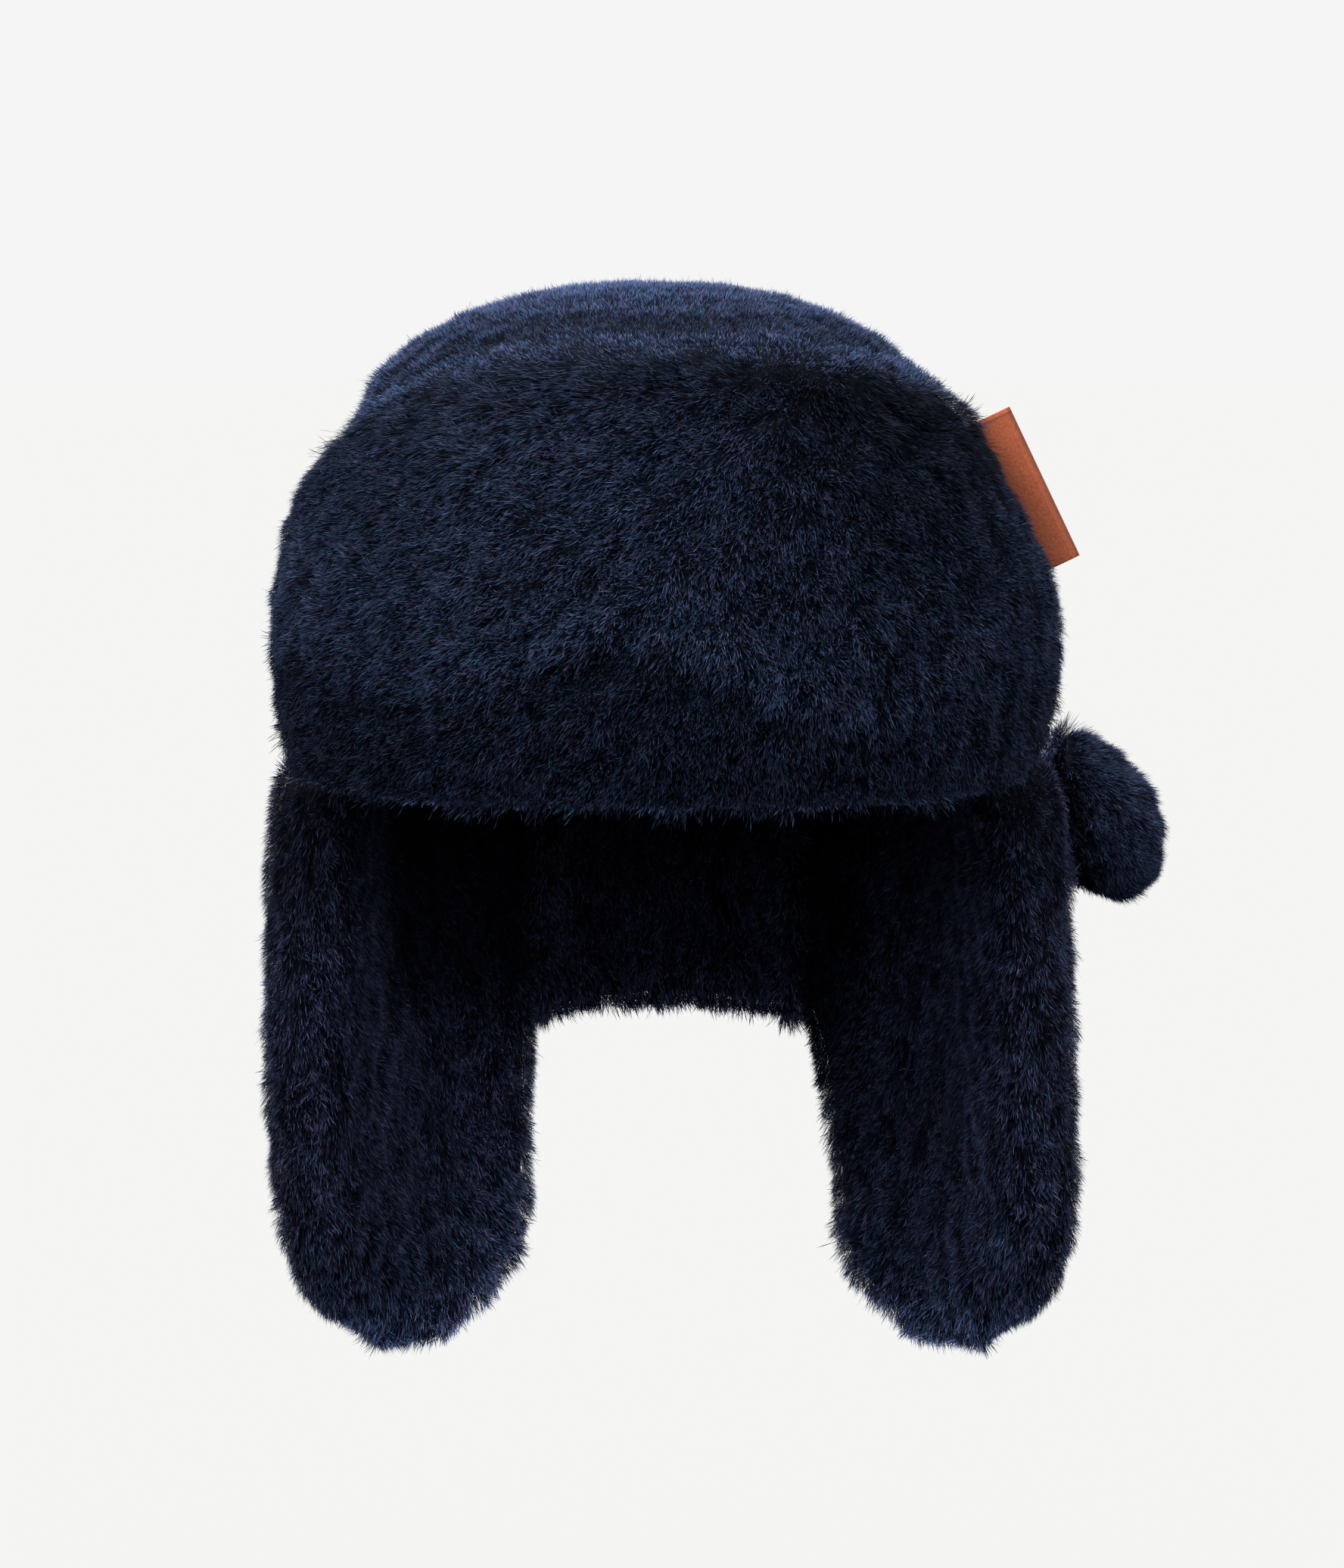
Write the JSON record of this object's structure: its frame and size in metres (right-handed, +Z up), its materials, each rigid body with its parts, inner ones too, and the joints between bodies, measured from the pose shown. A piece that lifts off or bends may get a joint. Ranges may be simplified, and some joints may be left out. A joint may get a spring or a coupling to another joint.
{
  "type": "aviator hat",
  "caption": "Plush fur aviator hat with a turned-up front flap, hanging ear flaps, a neck flap, a stubby side tab and a blank leather label.",
  "frame": {"origin": "middle of the head opening at the brow line, where the wearer's head holds the hat", "axes": "-Y to the hat's front, +Z up through the crown, +X to the wearer's left"},
  "size_m": [0.2654, 0.2615, 0.3141],
  "materials": {
    "fur_cloth": "deep soft pile, navy",
    "label_leather": "smooth grained leather, tan"
  },
  "bodies": {
    "root": {"crown": "fur_cloth", "front_flap": "fur_cloth", "ear_flap_left": "fur_cloth", "ear_flap_right": "fur_cloth", "neck_flap": "fur_cloth", "chin_tab": "fur_cloth", "label": "label_leather"}
  },
  "joints": []
}
